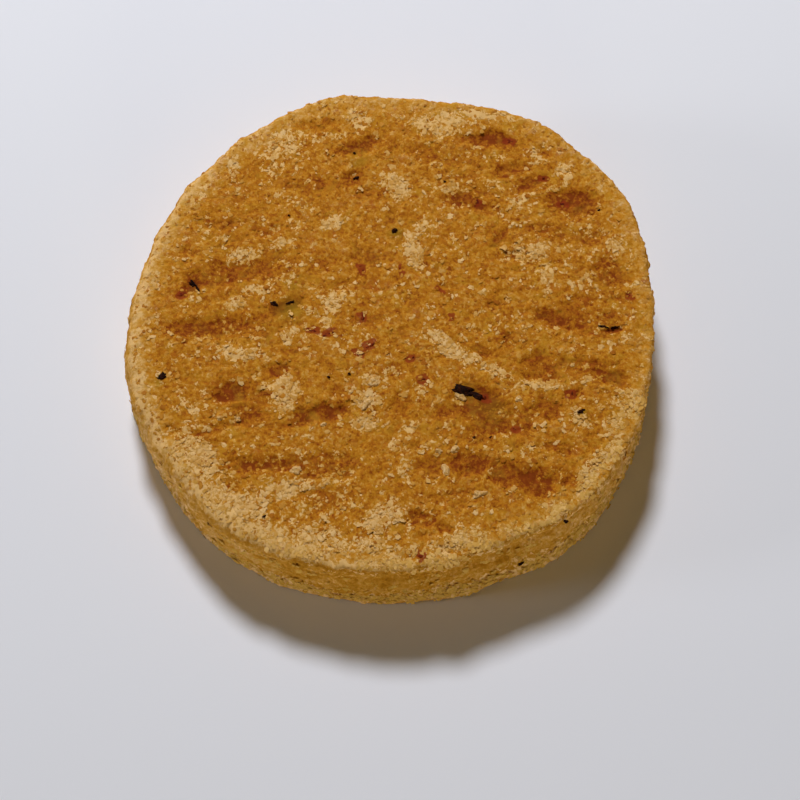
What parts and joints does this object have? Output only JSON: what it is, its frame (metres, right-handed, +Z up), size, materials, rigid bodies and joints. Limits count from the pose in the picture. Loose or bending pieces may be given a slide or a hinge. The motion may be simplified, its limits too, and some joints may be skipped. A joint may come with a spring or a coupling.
{
  "type": "soft cookie",
  "caption": "Round soft cookie with a browned, furrowed top, a straight crumbly side and a flat base that it lies on.",
  "frame": {"origin": "middle of the flat base, in the plane the cookie lies on", "axes": "+Z up through the browned top; X along the furrows in the top; Y across the furrows"},
  "size_m": [0.067, 0.066, 0.0112],
  "materials": {
    "baked_crust": "matt golden-brown baked dough with a crumbly, floury surface"
  },
  "bodies": {
    "root": {"cookie": "baked_crust"}
  },
  "joints": []
}
